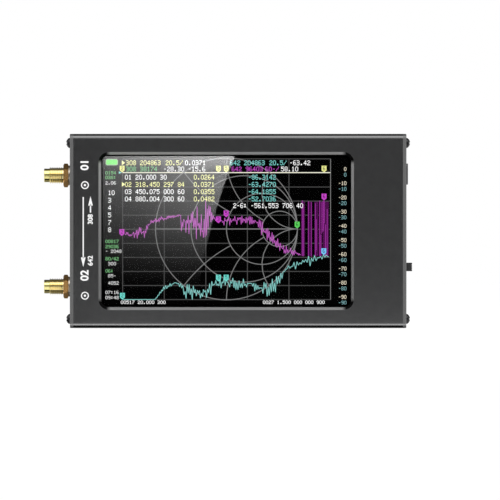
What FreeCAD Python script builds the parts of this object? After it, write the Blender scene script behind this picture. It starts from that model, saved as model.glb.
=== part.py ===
import FreeCAD, Part
import math
import os

# Handheld two-port antenna analyzer.  Millimetres.  X runs along the case, +Y goes from the
# display face to the rear, +Z is up.  The origin is the middle of the case's bottom face.
Vector = FreeCAD.Vector

# ---- case: two half shells between two end plates
case_length = 130.0  # over both end plates
case_depth = 22.0
case_height = 75.0
end_plate_thickness = 1.35
plate_chamfer = 0.25
face_wall = 2.0  # front wall, which carries the display
shell_wall = 1.8  # top, bottom and rear walls
edge_radius = 2.0
inner_radius = 0.5
seam_from_front = 8.0
seam_chamfer = 0.2
lip_thickness = 0.75  # the rear shell's lip slips inside the front shell
lip_height = 0.9
slip_gap = 0.1  # between pieces that slip together
rail_thickness = 1.0  # board rails inside the rear shell
rail_height = 1.6

# ---- M2 pan head screws in full-length screw channels
screw_radius = 1.0
screw_length = 6.0
screw_inset = 3.5  # screw axis to the outside of the case
screw_head_radius = 1.9
screw_head_height = 1.45
screw_head_rim = 0.45
screw_recess_length = 2.2
screw_recess_width = 0.5
screw_recess_depth = 0.8
screw_hole_gap = 0.15
tapped_gap = 0.02
tapped_spare_depth = 1.0
channel_radius = 1.9
channel_web = 1.6  # web that joins a channel to the nearest long wall

# ---- display stack, from the front: lens, adhesive, panel, backlight, tray
window_left = 11.05  # case end to the window's bevel
window_right = 20.25
window_bevel = 1.15
window_corner_radius = 2.85
lens_gap = 0.45
lens_corner_radius = 1.9
lens_thickness = 1.1
adhesive_thickness = 0.2
adhesive_width = 0.6
gasket_thickness = 0.3
display_overlap = 2.2  # display module behind the window's edge
display_channel_gap = 0.5  # display module to the screw channels
tray_wall = 0.6
tray_floor = 0.3
tray_gap = 0.1
panel_thickness = 1.2
backlight_thickness = 1.3

# ---- main board, clamped by its ports and held in the rear shell's rails
board_thickness = 1.6
board_edge_gap = 0.5
board_port_gap = 0.15
board_right_gap = 1.45
board_corner_radius = 1.0

# ---- coaxial ports, thread 1/4-36 UNS
port_inset = 16.0  # port axis to the top or bottom of the case
port_reach = 10.07  # tip of the barrel to the plate's outer face
port_pilot_length = 2.17
port_pilot_wall = 0.34
port_pilot_chamfer = 0.15
thread_radius = 3.175
thread_pitch = 0.7056
thread_runout = 0.25
port_socket_radius = 2.31
port_socket_depth = 1.93
port_flange_size = 9.5
port_flange_thickness = 2.0
port_flange_corner = 1.0
port_leg_size = 1.0
port_leg_length = 4.5
port_leg_spacing = 6.0
dielectric_radius = 2.05
contact_radius = 0.635
contact_hole_radius = 0.46
contact_hole_depth = 3.0
contact_tail_radius = 0.38
contact_tail_length = 3.2
port_fit_gap = 0.02
nut_across_flats = 8.0
nut_thickness = 1.95
nut_chamfer = 0.35
washer_ring_width = 0.25
washer_thickness = 0.65
washer_tooth_length = 0.35
washer_slots = 8
washer_slot_width = 0.9
port_hole_gap = 0.075

# ---- side controls and sockets in the right end plate
control_height = 1.75  # axis above the board
jog_from_bottom = 23.6
jog_reach = 2.3
jog_lever_width = 3.3
jog_lever_thickness = 1.5
jog_rib_depth = 0.15
jog_hub_radius = 1.6
jog_pin_radius = 0.6
jog_pin_gap = 0.05
jog_pivot_from_plate = 3.65  # pivot to the plate's inner face
jog_travel = 0.5
jog_swing = 10.0  # degrees each way
jog_wall = 0.6
jog_floor = 0.5
jog_slider_floor = 0.3
jog_slider_side = 3.7
jog_plate_gap = 0.45
jog_cover_thickness = 0.4
jog_swing_gap = 0.3
led_below_usb = 8.5
led_pitch = 3.0
led_length = 1.5
led_width = 2.4
led_height = 2.6
light_pipe_radius = 1.0
light_pipe_collar = 0.4
light_pipe_collar_length = 0.6
usb_above_middle = 8.5
usb_width = 8.94
usb_height = 3.26
usb_length = 7.35
usb_wall = 0.35
usb_recess = 0.5  # mouth behind the plate's outer face
usb_hole_gap = 0.2
usb_back_wall = 0.8
usb_tongue_width = 6.69
usb_tongue_thickness = 0.7
usb_tongue_recess = 0.85
button_from_top = 15.5
button_length = 8.2
button_width = 2.8
button_reach = 0.7
button_travel = 0.3
button_gap = 0.15
button_flange = 0.6
button_flange_thickness = 0.8
button_post_length = 0.8
button_post_radius = 0.9
switch_length = 3.6
switch_width = 6.0
switch_height = 3.5
switch_stem_radius = 0.7
switch_stem_inside = 1.6
switch_stem_outside = 0.6

# ---- electronics on the board's display side
ribbon_width = 20.5
ribbon_thickness = 0.2
ribbon_bend_z = 12.0
ribbon_on_display = 12.0
connector_from_bend = 3.0
connector_width = 25.0
connector_length = 5.0
connector_height = 2.0
connector_slot_depth = 3.0
latch_length = 2.0
latch_height = 0.4
shield_length = 28.0
shield_height = 22.0
shield_rail_gap = 1.6
shield_depth = 3.0
shield_sheet = 0.2
shield_from_ports = 2.15
mixer_size = 4.0
mixer_height = 0.9
mixer_pitch = 7.0
processor_size = 14.0
processor_height = 1.4
processor_x = 12.0
memory_length = 8.0
memory_width = 5.2
memory_height = 1.0
synthesizer_size = 5.0
synthesizer_height = 0.9
oscillator_length = 5.0
oscillator_width = 3.2
oscillator_height = 1.2
regulator_size = 4.0
regulator_height = 0.9
inductor_size = 5.0
inductor_height = 2.4
part_spacing = 4.0

# ---- battery on the board's rear side
cell_channel_gap = 2.1
cell_edge_radius = 1.5
cell_from_left = 20.5
insulator_thickness = 0.5
cell_pad_thickness = 0.6
cell_pad_inset = 8.0
cell_board_length = 3.5
cell_board_height = 20.0
cell_board_thickness = 1.6
wire_radius = 0.55
wire_pitch = 2.0
wire_bend_radius = 4.5  # of the inner wire
wire_axis_height = 2.3  # above the board
wire_start_above_middle = 2.5
wire_run = 3.0  # straight stretch before the bend
plug_below_top = 18.0
plug_from_plate = 6.8  # middle of the plug to the right end plate
plug_length = 8.5
plug_wall = 1.1
plug_half_thickness = 1.6
socket_wall = 0.55
socket_offset = 2.0

# ---- derived places
front_y = -case_depth / 2
rear_y = case_depth / 2
seam_y = front_y + seam_from_front
plate_x = case_length / 2
shell_x = plate_x - end_plate_thickness
inner_front_y = front_y + face_wall
inner_rear_y = rear_y - shell_wall
middle_z = case_height / 2
screw_places = [
    (y, z)
    for y in (front_y + screw_inset, rear_y - screw_inset)
    for z in (screw_inset, case_height - screw_inset)
]

display_bottom = screw_inset + channel_radius + display_channel_gap
display_top = case_height - display_bottom
opening_x0 = -plate_x + window_left + window_bevel
opening_x1 = plate_x - window_right - window_bevel
opening_z0 = display_bottom + display_overlap
opening_z1 = display_top - display_overlap
display_x0 = opening_x0 - display_overlap
display_x1 = opening_x1 + display_overlap
display_x = (display_x0 + display_x1) / 2
display_y0 = inner_front_y + gasket_thickness
lens_back_y = display_y0 - adhesive_thickness
backlight_y0 = display_y0 + panel_thickness
tray_floor_y = backlight_y0 + backlight_thickness
display_y1 = tray_floor_y + tray_floor

port_places = (case_height - port_inset, port_inset)
port_tip_x = -plate_x - port_reach
port_face_x = port_tip_x + port_socket_depth
flange_x = -shell_x + port_flange_thickness
board_front = contact_tail_radius  # the port contacts lie on the board
board_rear = board_front + board_thickness
board_x0 = flange_x + board_port_gap
board_x1 = shell_x - board_right_gap
board_z0 = shell_wall + board_edge_gap
board_z1 = case_height - shell_wall - board_edge_gap

control_y = board_front - control_height
jog_z = jog_from_bottom
usb_z = middle_z + usb_above_middle
usb_y = board_front - usb_height / 2
led_places = (usb_z - led_below_usb - led_pitch, usb_z - led_below_usb)
button_z = case_height - button_from_top


# ---- shape helpers
def box(x0, x1, y0, y1, z0, z1):
    return Part.makeBox(x1 - x0, y1 - y0, z1 - z0, Vector(x0, y0, z0))


def cylinder_x(x0, x1, y, z, radius):
    return Part.makeCylinder(radius, x1 - x0, Vector(x0, y, z), Vector(1, 0, 0))


def cylinder_y(y0, y1, x, z, radius):
    return Part.makeCylinder(radius, y1 - y0, Vector(x, y0, z), Vector(0, 1, 0))


def rounded_outline(u0, u1, v0, v1, radius, place):
    """Closed wire of a rectangle with round corners; place turns (u, v) into a point."""
    corners = [
        (u1 - radius, v0 + radius, -90),
        (u1 - radius, v1 - radius, 0),
        (u0 + radius, v1 - radius, 90),
        (u0 + radius, v0 + radius, 180),
    ]
    arcs = []
    for u, v, start in corners:
        angles = [math.radians(start + turn) for turn in (0, 45, 90)]
        arcs.append([place(u + radius * math.cos(a), v + radius * math.sin(a)) for a in angles])
    edges = []
    for i, arc in enumerate(arcs):
        edges.append(Part.Arc(*arc).toShape())
        nearer, further = arc[2], arcs[(i + 1) % 4][0]
        if nearer.distanceToPoint(further) > 1e-6:
            edges.append(Part.makeLine(nearer, further))
    return Part.Wire(edges)


def block_x(x0, x1, y0, y1, z0, z1, radius):
    """Block along X whose four X edges are round."""
    wire = rounded_outline(y0, y1, z0, z1, radius, lambda y, z: Vector(x0, y, z))
    return Part.Face(wire).extrude(Vector(x1 - x0, 0, 0))


def block_y(x0, x1, y0, y1, z0, z1, radius):
    """Block along Y whose four Y edges are round."""
    wire = rounded_outline(x0, x1, z0, z1, radius, lambda x, z: Vector(x, y0, z))
    return Part.Face(wire).extrude(Vector(0, y1 - y0, 0))


def turned_x(profile, y, z):
    """Solid of revolution about the X line through (y, z), from (x, radius) points."""
    points = [Vector(x, y, z + radius) for x, radius in profile]
    face = Part.Face(Part.makePolygon(points + points[:1]))
    return face.revolve(Vector(0, y, z), Vector(1, 0, 0), 360)


def joined(shapes):
    return shapes[0].multiFuse(shapes[1:]).removeSplitter()


def mirrored_x(shape):
    return shape.mirror(Vector(0, 0, 0), Vector(1, 0, 0))


def edges_on_plane(shape, axis, value):
    """Edges that lie in the plane axis = value."""
    low, high = axis + "Min", axis + "Max"
    found = []
    for edge in shape.Edges:
        limits = edge.BoundBox
        if abs(getattr(limits, low) - value) < 1e-5 and abs(getattr(limits, high) - value) < 1e-5:
            found.append(edge)
    return found


# ---- case
def case_tube():
    outside = block_x(-shell_x, shell_x, front_y, rear_y, 0, case_height, edge_radius)
    inside = block_x(
        -shell_x, shell_x, inner_front_y, inner_rear_y, shell_wall, case_height - shell_wall, inner_radius
    )
    tube = outside.cut(inside)
    channels = []
    for y, z in screw_places:
        channels.append(cylinder_x(-shell_x, shell_x, y, z, channel_radius))
        wall_z = shell_wall / 2 if z < middle_z else case_height - shell_wall / 2
        half = channel_web / 2
        channels.append(box(-shell_x, shell_x, y - half, y + half, min(wall_z, z), max(wall_z, z)))
    return joined([tube] + channels)


def tapped_holes(y, z):
    depth = screw_length - end_plate_thickness + tapped_spare_depth
    radius = screw_radius + tapped_gap
    return [
        cylinder_x(-shell_x, -shell_x + depth, y, z, radius),
        cylinder_x(shell_x - depth, shell_x, y, z, radius),
    ]


def seam_edges(shell):
    """The two outer long edges of a shell at the seam."""
    chosen = []
    for edge in edges_on_plane(shell, "Y", seam_y):
        height = edge.BoundBox.Center.z
        if edge.Length > shell_x and min(height, case_height - height) < 1e-5:
            chosen.append(edge)
    return chosen


def front_shell():
    shell = case_tube().common(box(-plate_x, plate_x, front_y, seam_y, 0, case_height))
    rebate_y = seam_y - lip_height - slip_gap
    rebate_z = shell_wall - lip_thickness - slip_gap
    shell = shell.cut(box(-plate_x, plate_x, rebate_y, seam_y, rebate_z, case_height - rebate_z))
    shell = shell.makeChamfer(seam_chamfer, seam_edges(shell))
    opening = block_y(
        opening_x0, opening_x1, front_y, inner_front_y, opening_z0, opening_z1, window_corner_radius
    )
    shell = shell.cut(opening)
    rim = [
        edge
        for edge in edges_on_plane(shell, "Y", front_y)
        if opening_x0 - 1e-5 < edge.BoundBox.XMin
        and edge.BoundBox.XMax < opening_x1 + 1e-5
        and opening_z0 - 1e-5 < edge.BoundBox.ZMin
        and edge.BoundBox.ZMax < opening_z1 + 1e-5
    ]
    shell = shell.makeChamfer(window_bevel, rim)
    holes = [hole for y, z in screw_places if y < seam_y for hole in tapped_holes(y, z)]
    return shell.cut(holes)


def rear_shell():
    shell = case_tube().common(box(-plate_x, plate_x, seam_y, rear_y, 0, case_height))
    shell = shell.makeChamfer(seam_chamfer, seam_edges(shell))
    lip_z = shell_wall - lip_thickness
    top = case_height
    additions = []
    for z0, z1 in ((lip_z, shell_wall), (top - shell_wall, top - lip_z)):
        additions.append(box(-shell_x, shell_x, seam_y - lip_height, seam_y + lip_height, z0, z1))
    rail_z = shell_wall + rail_height
    for z0, z1 in ((shell_wall / 2, rail_z), (top - rail_z, top - shell_wall / 2)):
        y = board_front - slip_gap
        additions.append(box(-shell_x, shell_x, y - rail_thickness, y, z0, z1))
        y = board_rear + slip_gap
        additions.append(box(-shell_x, shell_x, y, y + rail_thickness, z0, z1))
    shell = joined([shell] + additions)
    holes = [hole for y, z in screw_places if y > seam_y for hole in tapped_holes(y, z)]
    return shell.cut(holes)


def blank_plate():
    """Right-hand end plate before its own openings are cut."""
    plate = block_x(shell_x, plate_x, front_y, rear_y, 0, case_height, edge_radius)
    plate = plate.makeChamfer(plate_chamfer, edges_on_plane(plate, "X", plate_x))
    radius = screw_radius + screw_hole_gap
    return plate.cut([cylinder_x(shell_x, plate_x, y, z, radius) for y, z in screw_places])


def left_end_plate():
    radius = thread_radius + port_hole_gap
    holes = [cylinder_x(-plate_x, -shell_x, 0, z, radius) for z in port_places]
    return mirrored_x(blank_plate()).cut(holes)


def jog_slot_half_width():
    reach = plate_x - jog_pivot_x() + jog_travel
    swing = math.radians(jog_swing)
    return reach * math.sin(swing) + jog_lever_width / 2 * math.cos(swing) + jog_swing_gap


def right_end_plate():
    slot_z = jog_slot_half_width()
    slot_y = jog_lever_thickness / 2 + jog_swing_gap
    usb_y_half = usb_height / 2 + usb_hole_gap
    usb_z_half = usb_width / 2 + usb_hole_gap
    button_y_half = button_width / 2 + button_gap
    button_z_half = button_length / 2 + button_gap
    openings = [
        block_x(
            shell_x, plate_x, jog_y() - slot_y, jog_y() + slot_y, jog_z - slot_z, jog_z + slot_z, slot_y / 3
        ),
        block_x(
            shell_x,
            plate_x,
            usb_y - usb_y_half,
            usb_y + usb_y_half,
            usb_z - usb_z_half,
            usb_z + usb_z_half,
            usb_y_half,
        ),
        block_x(
            shell_x,
            plate_x,
            control_y - button_y_half,
            control_y + button_y_half,
            button_z - button_z_half,
            button_z + button_z_half,
            button_y_half,
        ),
    ]
    for z in led_places:
        openings.append(cylinder_x(shell_x, plate_x, control_y, z, light_pipe_radius + port_fit_gap))
    return blank_plate().cut(openings)


def screw(y, z):
    """Right-hand plate screw, head outwards."""
    rim_x = plate_x + screw_head_rim
    top_x = plate_x + screw_head_height
    dome = screw_head_height - screw_head_rim
    ball = (screw_head_radius**2 + dome**2) / (2 * dome)
    head = cylinder_x(plate_x, top_x, y, z, screw_head_radius)
    head = head.common(Part.makeSphere(ball, Vector(top_x - ball, y, z)))
    rim = cylinder_x(plate_x, rim_x, y, z, screw_head_radius)
    shank = cylinder_x(plate_x - screw_length, plate_x, y, z, screw_radius)
    half, arm = screw_recess_width / 2, screw_recess_length / 2
    recess_x = top_x - screw_recess_depth
    body = joined([head, rim, shank])
    return body.cut(
        [
            box(recess_x, top_x, y - arm, y + arm, z - half, z + half),
            box(recess_x, top_x, y - half, y + half, z - arm, z + arm),
        ]
    )


def right_plate_screws():
    return Part.makeCompound([screw(y, z) for y, z in screw_places])


def left_plate_screws():
    return Part.makeCompound([mirrored_x(screw(y, z)) for y, z in screw_places])


# ---- display
def cover_lens():
    return block_y(
        opening_x0 + lens_gap,
        opening_x1 - lens_gap,
        lens_back_y - lens_thickness,
        lens_back_y,
        opening_z0 + lens_gap,
        opening_z1 - lens_gap,
        lens_corner_radius,
    )


def frame_y(x0, x1, y0, y1, z0, z1, radius, width):
    """Flat picture frame along Y."""
    hole_radius = max(radius - width, radius / 4)
    outside = block_y(x0, x1, y0, y1, z0, z1, radius)
    inside = block_y(x0 + width, x1 - width, y0, y1, z0 + width, z1 - width, hole_radius)
    return outside.cut(inside)


def lens_adhesive():
    return frame_y(
        opening_x0 + lens_gap,
        opening_x1 - lens_gap,
        lens_back_y,
        display_y0,
        opening_z0 + lens_gap,
        opening_z1 - lens_gap,
        lens_corner_radius,
        adhesive_width,
    )


def display_gasket():
    width = display_overlap - slip_gap
    return frame_y(
        display_x0, display_x1, inner_front_y, display_y0, display_bottom, display_top, inner_radius, width
    )


def display_layer(y0, y1):
    inset = tray_wall + tray_gap
    return box(
        display_x0 + inset, display_x1 - inset, y0, y1, display_bottom + inset, display_top - inset
    )


def lcd_panel():
    return display_layer(display_y0, backlight_y0)


def lcd_backlight():
    return display_layer(backlight_y0, tray_floor_y)


def lcd_frame():
    tray = block_y(
        display_x0, display_x1, display_y0, display_y1, display_bottom, display_top, inner_radius
    )
    pocket = box(
        display_x0 + tray_wall,
        display_x1 - tray_wall,
        display_y0,
        tray_floor_y,
        display_bottom + tray_wall,
        display_top - tray_wall,
    )
    return tray.cut(pocket)


def ribbon_y():
    """Where the ribbon enters its connector."""
    return board_front - connector_height / 2


def lcd_ribbon():
    x0 = display_x - ribbon_width / 2
    start_y = display_y1 + ribbon_thickness / 2
    outer = (ribbon_y() - display_y1) / 2 + ribbon_thickness / 4
    bend_y = (start_y + ribbon_y()) / 2
    inner = outer - ribbon_thickness
    bottom = ribbon_bend_z
    ring = cylinder_x(x0, x0 + ribbon_width, bend_y, bottom, outer).cut(
        cylinder_x(x0, x0 + ribbon_width, bend_y, bottom, inner)
    )
    bend = ring.common(box(x0, x0 + ribbon_width, bend_y - outer, bend_y + outer, bottom - outer, bottom))
    on_display = box(
        x0, x0 + ribbon_width, bend_y - outer, bend_y - inner, bottom, bottom + ribbon_on_display
    )
    end_z = bottom + connector_from_bend + connector_slot_depth - slip_gap
    in_connector = box(x0, x0 + ribbon_width, bend_y + inner, bend_y + outer, bottom, end_z)
    return joined([bend, on_display, in_connector])


def ribbon_connector():
    z0 = ribbon_bend_z + connector_from_bend
    half = connector_width / 2
    body = box(
        display_x - half,
        display_x + half,
        board_front - connector_height,
        board_front,
        z0,
        z0 + connector_length,
    )
    slot_half = ribbon_width / 2 + slip_gap
    slot_y = ribbon_thickness / 2 + slip_gap
    slot = box(
        display_x - slot_half,
        display_x + slot_half,
        ribbon_y() - slot_y,
        ribbon_y() + slot_y,
        z0,
        z0 + connector_slot_depth,
    )
    return body.cut(slot)


def ribbon_latch():
    z0 = ribbon_bend_z + connector_from_bend
    half = connector_width / 2
    top = board_front - connector_height
    return box(display_x - half, display_x + half, top - latch_height, top, z0, z0 + latch_length)


# ---- board and its parts
def main_board():
    board = block_y(board_x0, board_x1, board_front, board_rear, board_z0, board_z1, board_corner_radius)
    return board


def chip(x, z, length, height, thickness):
    """Flat part soldered on the display side of the board, centred at (x, z)."""
    half_x, half_z = length / 2, height / 2
    return box(x - half_x, x + half_x, board_front - thickness, board_front, z - half_z, z + half_z)


def processor():
    return chip(processor_x, middle_z, processor_size, processor_size, processor_height)


def flash_memory():
    x = processor_x + processor_size / 2 + part_spacing + memory_length / 2
    return chip(x, middle_z, memory_length, memory_width, memory_height)


def signal_synthesizer():
    x = processor_x - processor_size / 2 - part_spacing - synthesizer_size / 2
    return chip(x, middle_z, synthesizer_size, synthesizer_size, synthesizer_height)


def reference_oscillator():
    x = processor_x - processor_size / 2 - part_spacing - synthesizer_size / 2
    z = middle_z + synthesizer_size / 2 + part_spacing + oscillator_width / 2
    return chip(x, z, oscillator_length, oscillator_width, oscillator_height)


def charge_regulator():
    z = middle_z + processor_size / 2 + part_spacing + regulator_size / 2
    return chip(processor_x, z, regulator_size, regulator_size, regulator_height)


def power_inductor():
    x = processor_x + regulator_size / 2 + part_spacing + inductor_size / 2
    z = middle_z + processor_size / 2 + part_spacing + regulator_size / 2
    return chip(x, z, inductor_size, inductor_size, inductor_height)


def shield_x():
    return board_x0 + port_leg_length + shield_from_ports + shield_length / 2


def shield_z(port_z):
    """The shields stand next to the board rails, one behind each port."""
    inset = shell_wall + rail_height + shield_rail_gap + shield_height / 2
    return inset if port_z < middle_z else case_height - inset


def rf_shield(port_z):
    can = chip(shield_x(), shield_z(port_z), shield_length, shield_height, shield_depth)
    inside = chip(
        shield_x(),
        shield_z(port_z),
        shield_length - 2 * shield_sheet,
        shield_height - 2 * shield_sheet,
        shield_depth - shield_sheet,
    )
    return can.cut(inside)


def mixers(port_z):
    z = shield_z(port_z)
    places = [shield_x() + step * mixer_pitch for step in (-1, 0, 1)]
    return Part.makeCompound([chip(x, z, mixer_size, mixer_size, mixer_height) for x in places])


# ---- coaxial ports
def thread_depth():
    return 0.5413 * thread_pitch


def pitch_radius():
    return thread_radius - 0.3248 * thread_pitch


def nut_face_x():
    return -plate_x - washer_thickness - nut_thickness


def thread_profile(start_x, count):
    """(x, radius) points of the thread's outline, from the tip towards the case."""
    crest, root = thread_pitch / 8, thread_pitch / 4
    flank = (thread_pitch - crest - root) / 2
    low = thread_radius - thread_depth()
    points = []
    x = start_x
    for _ in range(count):
        points += [(x, low), (x + flank, thread_radius), (x + flank + crest, thread_radius)]
        points.append((x + 2 * flank + crest, low))
        x += thread_pitch
    return points


def port_jack(port_z):
    bore = dielectric_radius + port_fit_gap
    pilot_x = port_tip_x + port_pilot_length
    count = int((nut_face_x() - thread_runout - pilot_x) / thread_pitch)
    thread_end = pilot_x + count * thread_pitch
    pilot_radius = port_socket_radius + port_pilot_wall
    profile = [
        (port_tip_x, port_socket_radius),
        (port_tip_x, pilot_radius - port_pilot_chamfer),
        (port_tip_x + port_pilot_chamfer, pilot_radius),
        (pilot_x, pilot_radius),
    ]
    profile += thread_profile(pilot_x, count)
    profile += [(thread_end, pitch_radius()), (flange_x, pitch_radius())]
    profile += [(flange_x, bore), (port_face_x, bore), (port_face_x, port_socket_radius)]
    barrel = turned_x(profile, 0, port_z)
    half = port_flange_size / 2
    flange = block_x(-shell_x, flange_x, -half, half, port_z - half, port_z + half, port_flange_corner)
    flange = flange.cut(cylinder_x(-shell_x, flange_x, 0, port_z, (bore + pitch_radius()) / 2))
    legs = []
    for side in (-1, 1):
        z = port_z + side * port_leg_spacing / 2
        z0, z1 = z - port_leg_size / 2, z + port_leg_size / 2
        x0, x1 = flange_x - port_flange_thickness / 2, flange_x + port_leg_length
        legs.append(box(x0, x1, board_front - port_leg_size, board_front, z0, z1))
        legs.append(box(x0, x1, board_rear, board_rear + port_leg_size, z0, z1))
    return joined([barrel, flange] + legs)


def port_dielectric(port_z):
    sleeve = cylinder_x(port_face_x, flange_x, 0, port_z, dielectric_radius)
    return sleeve.cut(cylinder_x(port_face_x, flange_x, 0, port_z, contact_radius + port_fit_gap / 2))


def port_contact(port_z):
    rod = cylinder_x(port_face_x, flange_x, 0, port_z, contact_radius)
    tail = cylinder_x(flange_x, flange_x + contact_tail_length, 0, port_z, contact_tail_radius)
    hole = cylinder_x(port_face_x, port_face_x + contact_hole_depth, 0, port_z, contact_hole_radius)
    return joined([rod, tail]).cut(hole)


def port_washer(port_z):
    """Internal tooth lock washer."""
    inner = thread_radius + port_hole_gap
    x0, x1 = -plate_x - washer_thickness, -plate_x
    tooth_root = inner + washer_tooth_length
    outer = tooth_root + washer_ring_width
    ring = cylinder_x(x0, x1, 0, port_z, outer).cut(cylinder_x(x0, x1, 0, port_z, inner))
    slots = []
    for i in range(washer_slots):
        half = washer_slot_width / 2
        slot = box(x0, x1, -half, half, port_z, port_z + tooth_root)
        slot.rotate(Vector(0, 0, port_z), Vector(1, 0, 0), 360 * i / washer_slots)
        slots.append(slot)
    return ring.cut(slots)


def port_nut(port_z):
    x0, x1 = nut_face_x(), -plate_x - washer_thickness
    corner = nut_across_flats / math.sqrt(3)
    points = [
        Vector(x0, corner * math.sin(math.radians(60 * i)), port_z + corner * math.cos(math.radians(60 * i)))
        for i in range(7)
    ]
    prism = Part.Face(Part.makePolygon(points)).extrude(Vector(x1 - x0, 0, 0))
    low = corner - math.sqrt(3) * nut_chamfer
    envelope = turned_x(
        [
            (x0, 0),
            (x0, low),
            (x0 + nut_chamfer, corner),
            (x1 - nut_chamfer, corner),
            (x1, low),
            (x1, 0),
        ],
        0,
        port_z,
    )
    return prism.common(envelope).cut(cylinder_x(x0, x1, 0, port_z, pitch_radius() + port_fit_gap))


# ---- side sockets, lights and keys
def usb_c_shell():
    x1 = plate_x - usb_recess
    x0 = x1 - usb_length
    y, z = usb_height / 2, usb_width / 2
    wall = usb_wall
    outside = block_x(x0, x1, usb_y - y, usb_y + y, usb_z - z, usb_z + z, y)
    inside = block_x(
        x0 + usb_back_wall,
        x1,
        usb_y - y + wall,
        usb_y + y - wall,
        usb_z - z + wall,
        usb_z + z - wall,
        y - wall,
    )
    return outside.cut(inside)


def usb_c_tongue():
    x1 = plate_x - usb_recess
    x0 = x1 - usb_length + usb_back_wall
    half_y, half_z = usb_tongue_thickness / 2, usb_tongue_width / 2
    tongue = block_x(
        x0, x1 - usb_tongue_recess, usb_y - half_y, usb_y + half_y, usb_z - half_z, usb_z + half_z, half_y / 2
    )
    base_y, base_z = usb_height / 2 - usb_wall, usb_width / 2 - usb_wall
    base = block_x(
        x0, x0 + usb_back_wall, usb_y - base_y, usb_y + base_y, usb_z - base_z, usb_z + base_z, base_y
    )
    return joined([tongue, base])


def light_pipe_x0():
    return board_x1 - led_length / 2


def status_leds():
    x1 = light_pipe_x0()
    leds = []
    for z in led_places:
        half = led_width / 2
        leds.append(box(x1 - led_length, x1, board_front - led_height, board_front, z - half, z + half))
    return Part.makeCompound(leds)


def led_light_pipes():
    pipes = []
    for z in led_places:
        rod = cylinder_x(light_pipe_x0(), plate_x, control_y, z, light_pipe_radius)
        collar = cylinder_x(
            shell_x - light_pipe_collar_length, shell_x, control_y, z, light_pipe_radius + light_pipe_collar
        )
        pipes.append(joined([rod, collar]))
    return Part.makeCompound(pipes)


def button_flange_x():
    return shell_x - slip_gap


def stem_tip_x():
    return button_flange_x() - button_flange_thickness - button_post_length


def power_button():
    y, z = button_width / 2, button_length / 2
    flange_x1 = button_flange_x()
    flange_x0 = flange_x1 - button_flange_thickness
    cap = block_x(
        flange_x0,
        plate_x + button_reach,
        control_y - y,
        control_y + y,
        button_z - z,
        button_z + z,
        y,
    )
    cap = cap.makeFillet(button_reach / 3, edges_on_plane(cap, "X", plate_x + button_reach))
    fy, fz = y + button_flange, z + button_flange
    flange = block_x(
        flange_x0, flange_x1, control_y - fy, control_y + fy, button_z - fz, button_z + fz, fy
    )
    post = cylinder_x(stem_tip_x(), flange_x0, control_y, button_z, button_post_radius)
    return joined([cap, flange, post])


def switch_x1():
    return stem_tip_x() - switch_stem_outside


def power_switch_body():
    x1 = switch_x1()
    x0 = x1 - switch_length
    half = switch_width / 2
    body = box(x0, x1, board_front - switch_height, board_front, button_z - half, button_z + half)
    bore_x0 = x1 - switch_stem_inside - button_travel - slip_gap
    return body.cut(cylinder_x(bore_x0, x1, control_y, button_z, switch_stem_radius + slip_gap))


def power_switch_stem():
    x0 = switch_x1() - switch_stem_inside
    return cylinder_x(x0, stem_tip_x(), control_y, button_z, switch_stem_radius)


def jog_pivot_x():
    return shell_x - jog_pivot_from_plate


def jog_floor_y():
    """Top of the jog switch's floor."""
    return board_front - jog_floor


def jog_y():
    """Middle of the lever's thickness."""
    return jog_floor_y() - 2 * slip_gap - jog_slider_floor - jog_lever_thickness / 2


def jog_roof_y():
    return jog_y() - jog_lever_thickness / 2 - slip_gap


def jog_front_x():
    return shell_x - jog_plate_gap


def jog_slider_x0():
    return jog_pivot_x() - jog_hub_radius - jog_wall - jog_swing_gap


def jog_slider_x1():
    return jog_front_x() - jog_wall - slip_gap


def jog_back_x():
    return jog_slider_x0() - jog_travel - slip_gap - jog_wall


def jog_half_width():
    return jog_slider_side + slip_gap + jog_wall


def jog_body():
    x0, x1 = jog_back_x(), jog_front_x()
    z0, z1 = jog_z - jog_half_width(), jog_z + jog_half_width()
    body = box(x0, x1, jog_roof_y(), board_front, z0, z1)
    inside = box(
        x0 + jog_wall, x1 - jog_wall, jog_roof_y(), jog_floor_y(), z0 + jog_wall, z1 - jog_wall
    )
    mouth_half = jog_slot_half_width()
    mouth = box(x1 - jog_wall, x1, jog_roof_y(), jog_floor_y(), jog_z - mouth_half, jog_z + mouth_half)
    return body.cut([inside, mouth])


def jog_cover():
    half = jog_half_width()
    roof = jog_roof_y()
    return box(jog_back_x(), jog_front_x(), roof - jog_cover_thickness, roof, jog_z - half, jog_z + half)


def jog_slider():
    x0, x1 = jog_slider_x0(), jog_slider_x1()
    z0, z1 = jog_z - jog_slider_side, jog_z + jog_slider_side
    floor_y1 = jog_floor_y() - slip_gap
    floor_y0 = floor_y1 - jog_slider_floor
    pin_top = jog_roof_y() + slip_gap / 2
    floor = box(x0, x1, floor_y0, floor_y1, z0, z1)
    back = box(x0, x0 + jog_wall, pin_top, floor_y1, z0, z1)
    pin = cylinder_y(pin_top, floor_y1, jog_pivot_x(), jog_z, jog_pin_radius)
    return joined([floor, back, pin])


def jog_lever():
    y0, y1 = jog_y() - jog_lever_thickness / 2, jog_y() + jog_lever_thickness / 2
    tip_x = plate_x + jog_reach
    half = jog_lever_width / 2
    hub = cylinder_y(y0, y1, jog_pivot_x(), jog_z, jog_hub_radius)
    arm = box(jog_pivot_x(), tip_x, y0, y1, jog_z - half, jog_z + half)
    arm = arm.makeFillet(jog_rib_depth * 2, edges_on_plane(arm, "X", tip_x))
    grooves = []
    for step in (-1, 0, 1):
        z = jog_z + step * jog_lever_width / 4
        grooves.append(
            box(tip_x - jog_rib_depth, tip_x, y0, y1, z - jog_rib_depth, z + jog_rib_depth)
        )
    bore = cylinder_y(y0, y1, jog_pivot_x(), jog_z, jog_pin_radius + jog_pin_gap)
    return joined([hub, arm]).cut(grooves + [bore])


# ---- battery
def cell_x0():
    return -shell_x + cell_from_left


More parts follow.
